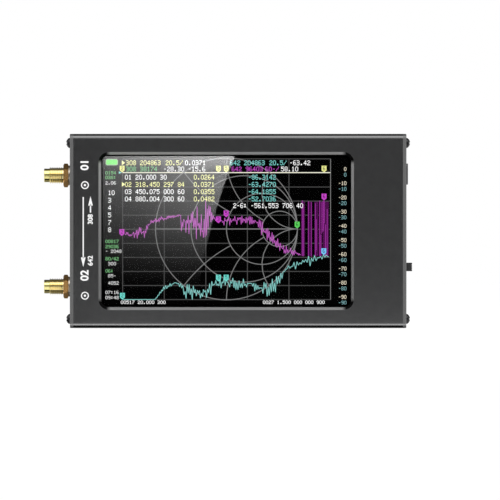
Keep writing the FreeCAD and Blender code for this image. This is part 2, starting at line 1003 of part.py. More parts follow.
def cell_board_x1():
    """Where the wires leave the cell's protection board."""
    return shell_x - plug_from_plate - wire_pitch / 2 - wire_bend_radius - wire_run


def cell_x1():
    return cell_board_x1() - cell_board_length


def cell_y0():
    return board_rear + insulator_thickness


def cell_y1():
    return inner_rear_y - cell_pad_thickness


def cell_z0():
    return screw_inset + channel_radius + cell_channel_gap


def cell_z1():
    return case_height - cell_z0()


def battery_insulator():
    return box(cell_x0(), cell_x1(), board_rear, cell_y0(), cell_z0(), cell_z1())


def battery_cell():
    cell = box(cell_x0(), cell_x1(), cell_y0(), cell_y1(), cell_z0(), cell_z1())
    return cell.makeFillet(cell_edge_radius, cell.Edges)


def battery_pad():
    inset = cell_pad_inset
    return box(
        cell_x0() + inset,
        cell_x1() - inset,
        cell_y1(),
        inner_rear_y,
        cell_z0() + inset,
        cell_z1() - inset,
    )


def wire_y():
    return board_rear + wire_axis_height


def battery_board():
    half_y, half_z = cell_board_thickness / 2, cell_board_height / 2
    y0, y1 = wire_y() - half_y, wire_y() + half_y
    return box(cell_x1(), cell_board_x1(), y0, y1, middle_z - half_z, middle_z + half_z)


def plug_z0():
    return case_height - plug_below_top


def wire_path_x(place):
    """X of a wire where it runs up to the plug; place is 0 for the inner wire, 1 for the outer."""
    return cell_board_x1() + wire_run + wire_bend_radius + place * wire_pitch


def battery_wire(place):
    """Straight run, quarter turn, straight run."""
    radius = wire_bend_radius + place * wire_pitch
    z = middle_z + wire_start_above_middle - place * wire_pitch
    x = wire_path_x(place)
    middle = Vector(x - radius, wire_y(), z + radius)
    diagonal = radius * math.sqrt(0.5)
    start = Vector(cell_board_x1(), wire_y(), z)
    bend_start = Vector(x - radius, wire_y(), z)
    bend_middle = middle + Vector(diagonal, 0, -diagonal)
    bend_end = Vector(x, wire_y(), z + radius)
    end = Vector(x, wire_y(), plug_z0())
    path = Part.Wire(
        [
            Part.makeLine(start, bend_start),
            Part.Arc(bend_start, bend_middle, bend_end).toShape(),
            Part.makeLine(bend_end, end),
        ]
    )
    section = Part.Wire([Part.makeCircle(wire_radius, start, Vector(1, 0, 0))])
    wire = path.makePipeShell([section], True, False)
    print("battery wire", place, "bend radius", radius, "length", round(path.Length, 1))
    return wire


def plug_middle_x():
    return shell_x - plug_from_plate


def plug_half_width():
    return wire_pitch / 2 + plug_wall


def battery_plug():
    half = plug_half_width()
    y0, y1 = wire_y() - plug_half_thickness, wire_y() + plug_half_thickness
    return box(
        plug_middle_x() - half, plug_middle_x() + half, y0, y1, plug_z0(), plug_z0() + plug_length
    )


def battery_socket():
    half = plug_half_width() + slip_gap
    thickness = plug_half_thickness + slip_gap
    z0 = plug_z0() + socket_offset
    z1 = plug_z0() + plug_length
    x = plug_middle_x()
    outside = box(
        x - half - socket_wall,
        x + half + socket_wall,
        board_rear,
        wire_y() + thickness + socket_wall,
        z0,
        z1 + slip_gap + socket_wall,
    )
    inside = box(x - half, x + half, wire_y() - thickness, wire_y() + thickness, z0, z1 + slip_gap)
    return outside.cut(inside)


def all_parts():
    parts = {
        "front_shell": front_shell(),
        "rear_shell": rear_shell(),
        "left_end_plate": left_end_plate(),
        "right_end_plate": right_end_plate(),
        "left_plate_screws": left_plate_screws(),
        "right_plate_screws": right_plate_screws(),
        "cover_lens": cover_lens(),
        "lens_adhesive": lens_adhesive(),
        "display_gasket": display_gasket(),
        "lcd_panel": lcd_panel(),
        "lcd_backlight": lcd_backlight(),
        "lcd_frame": lcd_frame(),
        "lcd_ribbon": lcd_ribbon(),
        "ribbon_connector": ribbon_connector(),
        "ribbon_latch": ribbon_latch(),
        "main_board": main_board(),
        "processor": processor(),
        "flash_memory": flash_memory(),
        "signal_synthesizer": signal_synthesizer(),
        "reference_oscillator": reference_oscillator(),
        "charge_regulator": charge_regulator(),
        "power_inductor": power_inductor(),
        "usb_c_shell": usb_c_shell(),
        "usb_c_tongue": usb_c_tongue(),
        "status_leds": status_leds(),
        "led_light_pipes": led_light_pipes(),
        "power_button": power_button(),
        "power_switch_body": power_switch_body(),
        "power_switch_stem": power_switch_stem(),
        "jog_body": jog_body(),
        "jog_cover": jog_cover(),
        "jog_slider": jog_slider(),
        "jog_lever": jog_lever(),
        "battery_insulator": battery_insulator(),
        "battery_cell": battery_cell(),
        "battery_pad": battery_pad(),
        "battery_board": battery_board(),
        "battery_wire_red": battery_wire(0),
        "battery_wire_black": battery_wire(1),
        "battery_plug": battery_plug(),
        "battery_socket": battery_socket(),
    }
    for number, port_z in enumerate(port_places, start=1):
        parts[f"port_{number}_jack"] = port_jack(port_z)
        parts[f"port_{number}_dielectric"] = port_dielectric(port_z)
        parts[f"port_{number}_contact"] = port_contact(port_z)
        parts[f"port_{number}_washer"] = port_washer(port_z)
        parts[f"port_{number}_nut"] = port_nut(port_z)
        parts[f"rf_shield_{number}"] = rf_shield(port_z)
        parts[f"rf_mixers_{number}"] = mixers(port_z)
    return parts


os.makedirs("parts", exist_ok=True)
for name, shape in all_parts().items():
    shape.exportStep(f"parts/{name}.step")
    print(name, len(shape.Solids), round(shape.Volume, 1), shape.isValid())
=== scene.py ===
"""Looks of the handheld antenna analyzer: finishes, display, print and studio. Metres, row frame."""
import math
import random

import bmesh
import bpy
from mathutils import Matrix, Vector


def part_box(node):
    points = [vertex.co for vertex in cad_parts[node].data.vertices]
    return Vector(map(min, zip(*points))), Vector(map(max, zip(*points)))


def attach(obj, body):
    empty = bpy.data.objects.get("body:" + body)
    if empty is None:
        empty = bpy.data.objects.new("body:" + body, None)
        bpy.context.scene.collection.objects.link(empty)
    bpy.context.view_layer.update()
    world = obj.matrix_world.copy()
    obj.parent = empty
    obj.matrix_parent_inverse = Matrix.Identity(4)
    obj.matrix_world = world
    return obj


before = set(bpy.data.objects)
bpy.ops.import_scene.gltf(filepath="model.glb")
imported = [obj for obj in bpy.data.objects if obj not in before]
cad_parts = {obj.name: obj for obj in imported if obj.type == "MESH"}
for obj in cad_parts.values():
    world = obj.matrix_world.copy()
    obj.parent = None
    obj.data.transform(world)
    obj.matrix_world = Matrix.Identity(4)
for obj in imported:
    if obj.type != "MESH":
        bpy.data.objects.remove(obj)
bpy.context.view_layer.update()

MM = 0.001
ROOT = "analyzer"

# Places taken from the CAD, in millimetres.
lens_low, lens_high = (corner / MM for corner in map(Vector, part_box("cover_lens")))
case_low, case_high = (corner / MM for corner in map(Vector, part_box("front_shell")))
window_x = (lens_low.x + lens_high.x) / 2
window_z = (lens_low.z + lens_high.z) / 2
lcd_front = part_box("lcd_panel")[0][1] / MM
face_front = case_low.y
plate_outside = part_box("right_end_plate")[1][0] / MM


# ------------------------------------------------ nodes

slow_patch = 40              # slow changes of tone are this many times as long as the grain
relief_strength = 0.6


def feed(tree, socket, value):
    """Links an output to the socket, or sets the socket's own value."""
    if isinstance(value, bpy.types.NodeSocket):
        tree.links.new(value, socket)
    else:
        socket.default_value = value


def node(tree, kind, inputs=None, **settings):
    """A node with its settings and its inputs."""
    made = tree.nodes.new(kind)
    for key, value in settings.items():
        setattr(made, key, value)
    for key, value in (inputs or {}).items():
        feed(tree, made.inputs[key], value)
    return made


def calc(tree, operation, first, second=0.0):
    return node(tree, "ShaderNodeMath", {0: first, 1: second}, operation=operation).outputs[0]


def step(tree, value, start, end, low=0.0, high=1.0):
    """Goes from low to high while value goes from start to end."""
    inputs = {"Value": value, "From Min": start, "From Max": end, "To Min": low, "To Max": high}
    return node(tree, "ShaderNodeMapRange", inputs).outputs["Result"]


def mix(tree, amount, first, second):
    """The first colour where amount is 0, the second where it is 1."""
    made = node(tree, "ShaderNodeMix", data_type="RGBA")
    feed(tree, made.inputs[0], amount)
    feed(tree, made.inputs[6], first)
    feed(tree, made.inputs[7], second)
    return made.outputs[2]


def place(tree):
    """A point of the row frame, in metres."""
    return node(tree, "ShaderNodeTexCoord").outputs["Object"]


def coordinates(tree):
    """The x, y and z of that point."""
    split = node(tree, "ShaderNodeSeparateXYZ", {0: place(tree)})
    return split.outputs[0], split.outputs[1], split.outputs[2]


def noise(tree, size, stretch=(1, 1, 1), detail=2.0):
    """Noise with patches about size metres across; a stretch below 1 makes them longer that way."""
    laid = node(tree, "ShaderNodeVectorMath", {0: place(tree), 1: stretch}, operation="MULTIPLY")
    inputs = {"Vector": laid.outputs[0], "Scale": 1 / size, "Detail": detail}
    return node(tree, "ShaderNodeTexNoise", inputs).outputs["Fac"]


def grey(level):
    return (level, level, level, 1)


def shade(colour, amount):
    return (colour[0] * amount, colour[1] * amount, colour[2] * amount, 1)


def new_material(name):
    made = bpy.data.materials.new(name)
    made.use_nodes = True
    return made, made.node_tree, made.node_tree.nodes["Principled BSDF"]


def glowing_material(name, strength):
    """A surface that only gives light. Its colour is left to the caller."""
    made = bpy.data.materials.new(name)
    made.use_nodes = True
    tree = made.node_tree
    tree.nodes.remove(tree.nodes["Principled BSDF"])
    glow = node(tree, "ShaderNodeEmission", {"Strength": strength})
    tree.links.new(glow.outputs[0], tree.nodes["Material Output"].inputs["Surface"])
    made.cycles.emission_sampling = "NONE"
    return made, tree, glow


def finish(name, colour, metallic=0.0, roughness=0.5, spread=0.06, depth=0.004 * MM,
           grain=0.12 * MM, stretch=(1, 1, 1), contrast=0.86):
    """A surface with a fine bumped grain, slow changes of tone and an uneven gloss."""
    made, tree, shader = new_material(name)
    fine = noise(tree, grain, stretch)
    slow = noise(tree, slow_patch * grain, stretch, 3.0)
    tone = mix(tree, step(tree, slow, 0.35, 0.65), shade(colour, contrast), shade(colour, 1.0))
    gloss = step(tree, fine, 0.3, 0.7, roughness - spread, roughness + spread)
    relief = node(tree, "ShaderNodeBump", {"Height": fine, "Distance": depth, "Strength": relief_strength})
    feed(tree, shader.inputs["Base Color"], tone)
    feed(tree, shader.inputs["Roughness"], gloss)
    feed(tree, shader.inputs["Normal"], relief.outputs[0])
    shader.inputs["Metallic"].default_value = metallic
    return made, tree, shader, tone


# ------------------------------------------------ finishes

# The bevel cut round the window, in millimetres, and its tones: bare cut metal with a painted highlight
# that is stronger toward the top, and painted shade at its corners.
bevel_reach = 1.6            # from the lens edge to the bevel's outer edge
bevel_half_x = (lens_high.x - lens_low.x) / 2 + bevel_reach
bevel_half_z = (lens_high.z - lens_low.z) / 2 + bevel_reach
bevel_depth = 1.15
bevel_corner = 3.9           # its light cut stops this far from each corner, where painted shade turns it black
bevel_corner_soft = 0.8      # and fades over this much to each side
bevel_change = 20.0          # from the window's middle to where each of its tones is reached; the painted highlight is stronger above
# The bevel's painted highlight below and above the middle, and the painted shade in its corners.
bevel_highlight_below, bevel_highlight_above, bevel_corner_shade = 0.26, 0.42, 0.004

# The lines along the case's front edges, in millimetres, and their tones: painted highlights along the
# foot and below the top, and painted shade along the rim.
lower_highlight_low, lower_highlight_high = 1.05, 1.6          # from the floor up: a painted highlight along the lower front edge
lower_highlight_depth = 0.8                         # from the face back
lower_highlight_case, lower_highlight_plate = 0.37, 0.33
top_highlight_low, top_highlight_high = 1.65, 0.95     # from the case's top down: a lighter line that is a painted highlight
top_highlight_tone = 0.17
shade_rim_low, shade_rim_high = 0.95, 0.65               # from the case's top down: where the painted shade of the rim begins
shade_rim_tone = 0.06

# The end plates' milled edges. Their outsides are as black as the case.
outside_from, outside_to = 0.12, 0.04        # from a plate's outside inward, in millimetres
milled_tone, milled_metal = 0.14, 0.15

thread_from, thread_to = -73.0, -72.6        # where a port's smooth pilot gives way to its thread
cell_step = 0.117 * MM       # along the display for each radian of its columns of cells
wave_radians = 20            # what a wave texture of scale 1 turns in a metre


def inside_span(tree, coordinate, middle, half):
    """The distance from the middle, and 1 where that is less than half. Both are given in millimetres."""
    away = calc(tree, "ABSOLUTE", calc(tree, "SUBTRACT", coordinate, middle * MM))
    return away, step(tree, away, (half + 0.05) * MM, (half - 0.05) * MM)


def band(tree, coordinate, low, high, soft=0.12):
    """1 between low and high millimetres, with soft ends."""
    above = step(tree, coordinate, (low - soft) * MM, (low + soft) * MM)
    below = step(tree, coordinate, (high + soft) * MM, (high - soft) * MM)
    return calc(tree, "MULTIPLY", above, below)


def near_corner(tree, away, half):
    """1 where a point this far from the window's middle comes near the bevel's corners."""
    start = half - bevel_corner
    return step(tree, away, (start - bevel_corner_soft) * MM, (start + bevel_corner_soft) * MM)


def window_bevel(tree, x, y, z):
    """1 on the bevel round the window, and 1 near its corners, where shade is painted on."""
    away_x, within_x = inside_span(tree, x, window_x, bevel_half_x)
    away_z, within_z = inside_span(tree, z, window_z, bevel_half_z)
    back = face_front + bevel_depth
    deep = step(tree, y, (face_front + 0.01) * MM, (face_front + 0.1) * MM)
    shallow = step(tree, y, (back + 0.05) * MM, (back - 0.05) * MM)
    sides = calc(tree, "MULTIPLY", within_x, within_z)
    bevel = calc(tree, "MULTIPLY", sides, calc(tree, "MULTIPLY", deep, shallow))
    near_x = near_corner(tree, away_x, bevel_half_x)
    near_z = near_corner(tree, away_z, bevel_half_z)
    return bevel, calc(tree, "MULTIPLY", near_x, near_z)


def worn_edge(tree, y, z):
    """1 along the lower front edge, where a highlight is painted on."""
    back = face_front + lower_highlight_depth
    front = step(tree, y, (back + 0.1) * MM, (back - 0.1) * MM)
    return calc(tree, "MULTIPLY", front, band(tree, z, lower_highlight_low, lower_highlight_high))


def dark_rim(tree, z):
    """1 along the top, where the case turns away from the light and shade is painted on."""
    return step(tree, z, (case_high.z - shade_rim_low) * MM, (case_high.z - shade_rim_high) * MM)


def anodising(name):
    """Satin black anodising on aluminium."""
    return finish(name, (0.132, 0.133, 0.135), 1.0, 0.36, 0.05, 0.003 * MM, 0.09 * MM, contrast=0.93)


def anodised_case():
    """The case: painted highlights along its foot and shoulder, painted shade along its rim. The window's
    bevel is cut light, with a painted highlight that grows toward the top, and painted shade fades it to
    black at its corners."""
    made, tree, shader, tone = anodising("anodised_case")
    x, y, z = coordinates(tree)
    bevel, corner = window_bevel(tree, x, y, z)
    # The bevel's painted highlight grows toward the top, and its corners get painted shade.
    height = step(tree, z, (window_z - bevel_change) * MM, (window_z + bevel_change) * MM)
    cut = mix(tree, height, grey(bevel_highlight_below), grey(bevel_highlight_above))
    cut = mix(tree, corner, cut, grey(bevel_corner_shade))
    # Painted highlight in a band below the case's top.
    shoulder = band(tree, z, case_high.z - top_highlight_low, case_high.z - top_highlight_high)
    shell = mix(tree, shoulder, tone, grey(top_highlight_tone))
    # Painted highlight along the lower front edge.
    shell = mix(tree, worn_edge(tree, y, z), shell, grey(lower_highlight_case))
    # Painted shade along the top rim.
    shell = mix(tree, dark_rim(tree, z), shell, grey(shade_rim_tone))
    feed(tree, shader.inputs["Base Color"], mix(tree, bevel, shell, cut))
    return made


def anodised_plate():
    """The end plates: the case's black, and duller on their edges, which were milled. They share the
    case's painted highlight along the foot and painted shade along the top.
    """
    made, tree, shader, tone = anodising("anodised_plate")
    x, y, z = coordinates(tree)
    away = calc(tree, "ABSOLUTE", x)
    outside = step(tree, away, (plate_outside - outside_from) * MM, (plate_outside - outside_to) * MM)
    plate = mix(tree, outside, grey(milled_tone), tone)
    # Painted highlight along the lower front edge, then painted shade along the top rim.
    plate = mix(tree, worn_edge(tree, y, z), plate, grey(lower_highlight_plate))
    plate = mix(tree, dark_rim(tree, z), plate, grey(shade_rim_tone))
    feed(tree, shader.inputs["Base Color"], plate)
    feed(tree, shader.inputs["Metallic"], step(tree, outside, 0.0, 1.0, milled_metal, 1.0))
    return made


def gold(name, colour, roughness):
    """Gold plate with turning marks round the port's axis."""
    return finish(name, colour, 1.0, roughness, 0.04, 0.0015 * MM, 0.05 * MM,
                  stretch=(1, 0.15, 0.15), contrast=0.9)


def port_gold():
    """Pale gold, a little redder on the thread than on the smooth pilot."""
    made, tree, shader, tone = gold("port_gold", (0.74, 0.66, 0.27), 0.15)
    threaded = step(tree, coordinates(tree)[0], thread_from * MM, thread_to * MM)
    redder = mix(tree, noise(tree, 0.5 * MM), (0.83, 0.72, 0.37, 1), (0.92, 0.8, 0.43, 1))
    feed(tree, shader.inputs["Base Color"], mix(tree, threaded, tone, redder))
    return made


def nut_gold():
    """The port nuts' gold, which is darker and redder."""
    return gold("nut_gold", (0.82, 0.46, 0.16), 0.2)[0]


def glass():
    """The cover lens. Its coating leaves only a weak reflection."""
    made, tree, shader = new_material("lens_glass")
    smear = noise(tree, 6 * MM, (1, 1, 1), 3.0)
    feed(tree, shader.inputs["Base Color"], mix(tree, smear, (0.97, 0.98, 0.98, 1), (1, 1, 1, 1)))
    shader.inputs["Roughness"].default_value = 0.08
    shader.inputs["IOR"].default_value = 1.13
    shader.inputs["Transmission Weight"].default_value = 1.0
    return made


def clear_plastic():
    """The light pipes."""
    made, _, shader, _ = finish("clear_plastic", (0.9, 0.92, 0.93), 0.0, 0.2, 0.05)
    shader.inputs["Transmission Weight"].default_value = 0.7
    return made


def lcd_black():
    """The dark display. It gives no light back, and its cells let a little of the backlight through."""
    made, tree, shader = new_material("lcd_black")
    scale = 1 / cell_step / wave_radians
    cells = node(tree, "ShaderNodeTexWave", {"Vector": place(tree), "Scale": scale})
    leak = mix(tree, cells.outputs["Fac"], grey(0.0004), grey(0.0012))
    feed(tree, shader.inputs["Emission Color"], leak)
    shader.inputs["Emission Strength"].default_value = 1.0
    shader.inputs["Base Color"].default_value = grey(0)
    shader.inputs["Roughness"].default_value = 0.5
    shader.inputs["Specular IOR Level"].default_value = 0.0
    made.cycles.emission_sampling = "NONE"
    return made


def board_green():
    """Solder mask over copper, whose tracks show as lighter lines."""
    made, tree, shader, tone = finish("board_green", (0.015, 0.11, 0.05), 0.0, 0.35)
    inputs = {"Vector": place(tree), "Scale": 160.0, "Mortar Size": 0.03,
              "Color1": grey(1), "Color2": grey(0.85), "Mortar": grey(0)}
    tracks = node(tree, "ShaderNodeTexBrick", inputs).outputs["Color"]
    feed(tree, shader.inputs["Base Color"], mix(tree, tracks, (0.03, 0.2, 0.09, 1), tone))
    return made


def ink_white():
    """The face's print."""
    return finish("ink_white", (0.97, 0.97, 0.97), 0.0, 0.45, contrast=0.97)[0]


special_finishes = {
    "case_black": anodised_case,
    "plate_black": anodised_plate,
    "lens_glass": glass,
    "lcd_glass": lcd_black,
    "board_green": board_green,
    "port_gold": port_gold,
    "light_pipe_clear": clear_plastic,
}
brushed = {"stretch": (0.08, 1, 1)}
foam = {"depth": 0.03 * MM, "grain": 0.3 * MM}
plain_finishes = {           # colour, metallic, roughness, and what else isn't as usual
    "screw_steel": ((0.04, 0.04, 0.042), 1.0, 0.2, {}),
    "adhesive_black": ((0.012, 0.012, 0.012), 0.0, 0.7, {}),
    "gasket_foam": ((0.02, 0.02, 0.02), 0.0, 0.9, foam),
    "backlight_white": ((0.8, 0.8, 0.78), 0.0, 0.5, {}),
    "display_tray": ((0.5, 0.5, 0.5), 1.0, 0.35, brushed),
    "ribbon_amber": ((0.5, 0.24, 0.04), 0.0, 0.3, {}),
    "connector_ivory": ((0.72, 0.67, 0.55), 0.0, 0.45, {}),
    "latch_brown": ((0.1, 0.06, 0.035), 0.0, 0.5, {}),
    "chip_black": ((0.02, 0.02, 0.021), 0.0, 0.6, {"depth": 0.008 * MM}),
    "shield_tin": ((0.6, 0.6, 0.58), 1.0, 0.32, brushed),
    "port_insulator": ((0.86, 0.85, 0.82), 0.0, 0.4, {}),
    "washer_nickel": ((0.62, 0.53, 0.43), 1.0, 0.3, {}),
    "socket_steel": ((0.55, 0.55, 0.56), 1.0, 0.28, brushed),
    "socket_black": ((0.015, 0.015, 0.016), 0.0, 0.5, {}),
    "led_white": ((0.8, 0.8, 0.72), 0.0, 0.3, {}),
    "button_grey": ((0.13, 0.13, 0.135), 0.3, 0.4, {}),
    "lever_black": ((0.035, 0.035, 0.036), 0.0, 0.5, {"depth": 0.01 * MM}),
    "switch_steel": ((0.55, 0.55, 0.55), 1.0, 0.35, brushed),
    "cell_foil": ((0.6, 0.6, 0.62), 1.0, 0.4, {"depth": 0.02 * MM, "grain": 0.8 * MM}),
    "pad_foam": ((0.03, 0.03, 0.03), 0.0, 0.9, foam),
    "insulator_sheet": ((0.5, 0.4, 0.06), 0.0, 0.35, {}),
    "wire_red": ((0.45, 0.012, 0.01), 0.0, 0.4, {}),
    "wire_black": ((0.012, 0.012, 0.012), 0.0, 0.4, {}),
}


def make_finishes():
    """One material for each of the record's slots."""
    finishes = {slot: make() for slot, make in special_finishes.items()}
    for slot, (colour, metallic, roughness, more) in plain_finishes.items():
        finishes[slot] = finish(slot, colour, metallic, roughness, **more)[0]
    return finishes


def dress_frame():
    """Gives each CAD node its slot's material, and the port nuts a gold of their own."""
    finishes = make_finishes()
    nuts = nut_gold()
    for name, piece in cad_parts.items():
        for slot in piece.material_slots:
            slot.material = nuts if name.endswith("_nut") else finishes[slot.material.name]


# ------------------------------------------------ thin plates for display and print

mitre_limit = 0.45           # a ribbon's mitre is never longer than its width over this


class Plates:
    """Thin closed plates in the xz plane, gathered into one piece. Places are in millimetres."""

    def __init__(self, front, thick):
        self.front = front
        self.back = front + thick
        self.points = []
        self.faces = []

    def add(self, outline):
        """A plate with this convex outline."""
        first = len(self.points)
        count = len(outline)
        self.points += [(x, self.front, z) for x, z in outline]
        self.points += [(x, self.back, z) for x, z in outline]
        self.faces.append(tuple(first + i for i in range(count)))
        self.faces.append(tuple(first + count + i for i in reversed(range(count))))
        for i in range(count):
            j = (i + 1) % count
            self.faces.append((first + i, first + count + i, first + count + j, first + j))

    def bar(self, left, low, right, high):
        self.add([(left, low), (right, low), (right, high), (left, high)])

    def ribbon(self, points, width, closed=False):
        """One continuous strip along the points, mitred where it turns."""
        line = [Vector(point) for point in points]
        count = len(line)
        first = len(self.points)
        for i, point in enumerate(line):
            before = line[i - 1] if closed or i else None
            after = line[(i + 1) % count] if closed or i < count - 1 else None
            steps = [(point - before).normalized()] if before is not None else []
            steps += [(after - point).normalized()] if after is not None else []
            along = sum(steps, Vector((0, 0))).normalized()
            normal = Vector((-along.y, along.x))
            lean = max(mitre_limit, abs(normal.dot(Vector((-steps[0].y, steps[0].x)))))
            reach = normal * width / 2 / lean
            for side, y in ((-1, self.front), (1, self.front), (1, self.back), (-1, self.back)):
                self.points.append((point.x + side * reach.x, y, point.y + side * reach.y))
        for i in range(count if closed else count - 1):
            here = first + 4 * i
            there = first + 4 * ((i + 1) % count)
            for k in range(4):
                n = (k + 1) % 4
                self.faces.append((here + k, there + k, there + n, here + n))
        if not closed:
            last = first + 4 * (count - 1)
            self.faces.append((first, first + 1, first + 2, first + 3))
            self.faces.append((last + 3, last + 2, last + 1, last))

    def piece(self, name, material):
        """All the plates as one piece that rides on the case."""
        mesh = bpy.data.meshes.new(name)
        mesh.from_pydata([Vector(p) * MM for p in self.points], [], self.faces)
        mesh.materials.append(material)
        mesh.validate()
        made = bpy.data.objects.new(name, mesh)
        bpy.context.scene.collection.objects.link(made)
        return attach(made, ROOT)


def arc(centre, radius, start, end, steps):
    """Points on an arc, in degrees counter-clockwise from +X."""
    angles = [math.radians(start + (end - start) * i / steps) for i in range(steps + 1)]
    return [(centre[0] + radius * math.cos(a), centre[1] + radius * math.sin(a)) for a in angles]


def ring(plates, centre, radius, width, steps=48):
    plates.ribbon(arc(centre, radius, 0, 360, steps)[:-1], width, closed=True)


# ------------------------------------------------ display image

DIGITS = {                   # each character's seven rows of five cells
    "0": "01110 10001 10001 10001 10001 10001 01110",
    "1": "00100 01100 00100 00100 00100 00100 01110",
    "2": "01110 10001 00001 00110 01000 10000 11111",
    "3": "11110 00001 00001 01110 00001 00001 11110",
    "4": "00010 00110 01010 10010 11111 00010 00010",
    "5": "11111 10000 11110 00001 00001 10001 01110",
    "6": "01110 10000 10000 11110 10001 10001 01110",
    "7": "11111 00001 00010 00100 01000 01000 01000",
    "8": "01110 10001 10001 01110 10001 10001 01110",
    "9": "01110 10001 10001 01111 00001 00001 01110",
    "-": "00000 00000 00000 01110 00000 00000 00000",
    ".": "00000 00000 00000 00000 00000 01100 01100",
    ":": "00000 01100 01100 00000 01100 01100 00000",
    "/": "00001 00001 00010 00100 01000 10000 10000",
    " ": "00000 00000 00000 00000 00000 00000 00000",
}

# All places and sizes on the display are in millimetres.
layer_depth = 0.02           # thickness of each layer of the image
layer_gap = 0.008            # and what separates it from the next

large_text = (1.36, 1.85)    # from one character to the next, and a character's height
small_text = (1.06, 1.25)
scale_text = (1.08, 1.45)
marker_text = (1.0, 1.45)
span_text = (1.09, 1.3)

grid_left = -44.6
grid_right = 35.7
grid_top = 65.35
grid_bottom = 11.0
grid_columns = 5
grid_rows = 10
grid_width = 0.32
level_line = 60.05           # the bright line under the two lines of readings at the top
chart_centre = (-4.5, 38.3)
chart_radius = 27.4
chart_width = 0.32
chart_steps = 96             # points on each circle
reactance_arcs = ((0.5, 1), (1, 3), (2, 40))     # each arc's reactance, and the resistance where it ends
arc_steps = 24
edge_half = 0.12             # half the width of the brighter line on the grid's right edge

grid_light, chart_light, number_light = 0.075, 0.22, 0.3
phase_light, haze_light, comb_light = 1.05, 0.12, 0.5
text_light = 1.2             # above 1, because thin strokes lose some of it between pixels


def lit(name, colour, strength=1.0):
    """Light from the display's cells, a little uneven."""
    made, tree, glow = glowing_material(name, strength)
    uneven = mix(tree, noise(tree, 0.4 * MM), shade(colour, 0.9), shade(colour, 1.0))
    feed(tree, glow.inputs["Color"], uneven)
    return made


def layer(number):
    """Plates on a numbered layer in the gap between the panel and the lens; higher is nearer the lens."""
    return Plates(lcd_front - (number + 1) * (layer_depth + layer_gap), layer_depth)


def write(plates, text, left, top, size=large_text):
    """Plain numbers in a font of five by seven cells, with one bar for each run of cells."""
    cell_x = size[0] / 6
    cell_z = size[1] / 7
    for number, letter in enumerate(text):
        start = left + number * size[0]
        for row, pattern in enumerate(DIGITS[letter].split()):
            high = top - row * cell_z
            run = 0
            for column, cell in enumerate(pattern + "0"):
                if cell == "1":
                    run += 1
                elif run:
                    end = start + column * cell_x
                    plates.bar(start + (column - run) * cell_x, high - cell_z, end, high)
                    run = 0


def display_grid():
    """The measuring grid and its bright level line."""
    grid = layer(0)
    half = grid_width / 2
    for column in range(grid_columns + 1):
        x = grid_left + (grid_right - grid_left) * column / grid_columns
        grid.bar(x - half, grid_bottom, x + half, grid_top)
    for row in range(grid_rows + 1):
        z = grid_bottom + (grid_top - grid_bottom) * row / grid_rows
        grid.bar(grid_left, z - half, grid_right, z + half)
    grid.piece("display_grid", lit("lit_grid", (1.0, 1.0, 1.0), grid_light))
    bright = layer(1)
    bright.bar(grid_left, level_line - half, grid_right, level_line + half)
    bright.piece("display_level_line", lit("lit_level", (1.0, 0.98, 0.8)))


def reflection_point(resistance, reactance):
    """Where a normalised impedance lies on the chart."""
    impedance = complex(resistance, reactance)
    point = (impedance - 1) / (impedance + 1)
    return (chart_centre[0] + chart_radius * point.real, chart_centre[1] + chart_radius * point.imag)


def polar_chart():
    """Circles of equal resistance and arcs of equal reactance, with the axis between them."""
    chart = layer(1)
    middle_x, middle_z = chart_centre
    for share in (1, 3 / 4, 1 / 2, 1 / 4):
        radius = chart_radius * share
        ring(chart, (middle_x + chart_radius - radius, middle_z), radius, chart_width, chart_steps)
    for reactance, last in reactance_arcs:
        for side in (1, -1):
            values = [last * (i / arc_steps) ** 2 for i in range(arc_steps + 1)]
            chart.ribbon([reflection_point(r, side * reactance) for r in values], chart_width)
    chart.bar(grid_right - edge_half, grid_bottom, grid_right + edge_half, grid_top)
    chart.bar(middle_x - chart_radius, middle_z - chart_width / 2,
              middle_x + chart_radius, middle_z + chart_width / 2)
    chart.piece("display_polar_chart", lit("lit_chart", (1.0, 1.0, 1.0), chart_light))


# The two measured curves: the x, z and height of jumps at each turn.
phase_shape = [
    (-43.7, 36.0, 1.6), (-36.2, 37.0, 2.6), (-33.6, 41.0, 1.2), (-28.5, 42.4, 1.0), (-22.6, 43.6, 0.4),
    (-22.2, 41.5, 6.5), (-19.0, 41.5, 6.0), (-17.8, 43.0, 2.5), (-16.4, 40.5, 6.5), (-13.4, 38.5, 10.0),
    (-11.6, 43.0, 8.0), (-10.2, 43.2, 1.8), (-7.6, 42.0, 1.8), (-6.0, 41.4, 2.0), (3.4, 42.0, 1.8),
    (7.3, 41.0, 1.6), (9.6, 37.9, 3.2), (12.3, 35.6, 2.6), (15.0, 32.8, 2.2), (17.5, 30.4, 1.8),
    (24.4, 28.4, 0.9),
]
gain_shape = [
    (-44.6, 11.0, 0.0), (-32.1, 11.0, 0.1), (-30.6, 13.0, 0.8), (-28.4, 15.6, 0.9), (-24.2, 17.5, 0.5),
    (-22.6, 16.6, 0.9), (-20.5, 14.0, 3.0), (-11.4, 13.6, 3.2), (-9.8, 16.4, 2.2), (-5.0, 17.8, 2.4),
    (-1.6, 17.0, 2.4), (-0.5, 13.8, 4.6), (0.8, 16.6, 2.4), (4.5, 17.2, 2.6), (8.0, 16.0, 3.4),
    (14.0, 15.6, 4.2), (15.6, 18.4, 2.0), (17.4, 20.8, 3.6), (18.4, 22.6, 1.4),
]
gain_ripple = [
    (18.4, 22.6, 1.4), (20.5, 23.6, 1.5), (25.5, 25.6, 2.2), (29.5, 26.2, 1.9), (33.0, 27.6, 1.8),
    (35.5, 27.2, 1.8),
]
least_jump, full_jump = -0.1, 1.0    # the range that each jump's share of its height is drawn from
trace_seed = 7
phase_pitch = 0.28           # along x, from one jump to the next
gain_pitch = 0.4
ripple_pitch = 0.55
phase_width = 0.17
gain_width = 0.22
magenta = (0.62, 0.13, 0.62)
comb_magenta = (0.64, 0.06, 0.64)
cyan = (0.28, 0.72, 0.68)

